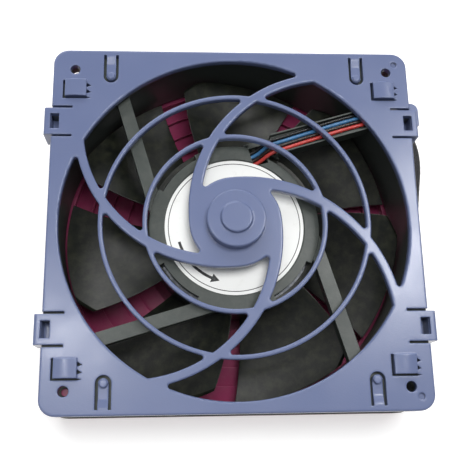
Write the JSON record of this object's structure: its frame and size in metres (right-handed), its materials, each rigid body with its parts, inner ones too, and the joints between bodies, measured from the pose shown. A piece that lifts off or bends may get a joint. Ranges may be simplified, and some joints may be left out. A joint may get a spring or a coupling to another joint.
{
  "type": "server fan module",
  "caption": "Square axial fan module with a swirl finger guard on the exhaust side, a louvred inlet guard, clip ears and a side lead to a corner connector.",
  "frame": {"origin": "on the fan's axis, in the flat bottom face of the inlet guard", "axes": "+Z along the fan's axis towards the exhaust guard, +X towards the side where the sleeved leads run, +Y towards the lead corner"},
  "size_m": [0.1291, 0.1194, 0.039],
  "materials": {
    "blue_violet_plastic": "moulded, satin gloss",
    "maroon_plastic": "moulded, satin gloss",
    "black_plastic": "moulded, fine grain",
    "black_blade_plastic": "moulded, semi-matte",
    "white_label": "printed film, satin",
    "brass": "turned",
    "silicon_steel": "laminated edges",
    "nylon": "natural nylon",
    "enamelled_copper": "enamel varnish",
    "circuit_board": "solder resist",
    "black_component": "moulded",
    "black_insulation": "extruded",
    "blue_insulation": "extruded",
    "brown_insulation": "extruded",
    "red_insulation": "extruded",
    "braided_sleeve": "braided polyester",
    "connector_nylon": "moulded nylon",
    "contact_brass": "tin-flashed",
    "zinc_steel": "zinc plated",
    "ferrite": "moulded ferrite",
    "ground_steel": "ground",
    "spring_steel": "blued",
    "bearing_steel": "ground and polished"
  },
  "bodies": {
    "housing": {"exhaust_guard": "blue_violet_plastic", "inlet_guard": "maroon_plastic", "fan_frame": "black_plastic", "motor_label": "white_label", "bearing_tube": "brass", "stator_core": "silicon_steel", "lower_insulator": "nylon", "upper_insulator": "nylon", "stator_coils": "enamelled_copper", "circuit_board": "circuit_board", "board_components": "black_component", "hall_sensor": "black_component", "lower_bearing_outer_ring": "bearing_steel", "upper_bearing_outer_ring": "bearing_steel", "lead_black": "black_insulation", "lead_blue": "blue_insulation", "lead_brown": "brown_insulation", "lead_red": "red_insulation", "lead_sleeve": "braided_sleeve", "connector_housing": "connector_nylon", "connector_contacts": "contact_brass", "connector_cradle": "black_plastic"},
    "rotor": {"impeller": "black_blade_plastic", "rotor_yoke": "zinc_steel", "rotor_magnet": "ferrite", "shaft": "ground_steel", "shaft_bush": "brass", "retaining_ring": "spring_steel", "preload_washer": "spring_steel", "lower_bearing_inner_ring": "bearing_steel", "upper_bearing_inner_ring": "bearing_steel"},
    "lower_ball_set": {"lower_bearing_balls": "bearing_steel", "lower_bearing_cage": "nylon"},
    "upper_ball_set": {"upper_bearing_balls": "bearing_steel", "upper_bearing_cage": "nylon"}
  },
  "joints": [
    {"name": "rotor_spin", "type": "hinge", "parent": "housing", "child": "rotor", "pos_m": [0, 0, 0.0185], "axis": [0, 0, 1], "continuous": true},
    {"name": "lower_ball_orbit", "type": "hinge", "parent": "housing", "child": "lower_ball_set", "pos_m": [0, 0, 0.014], "axis": [0, 0, 1], "continuous": true},
    {"name": "upper_ball_orbit", "type": "hinge", "parent": "housing", "child": "upper_ball_set", "pos_m": [0, 0, 0.023], "axis": [0, 0, 1], "continuous": true}
  ],
  "couplings": [
    {"joint": "lower_ball_orbit", "follows": "rotor_spin", "ratio": 0.3564},
    {"joint": "upper_ball_orbit", "follows": "rotor_spin", "ratio": 0.3564}
  ]
}
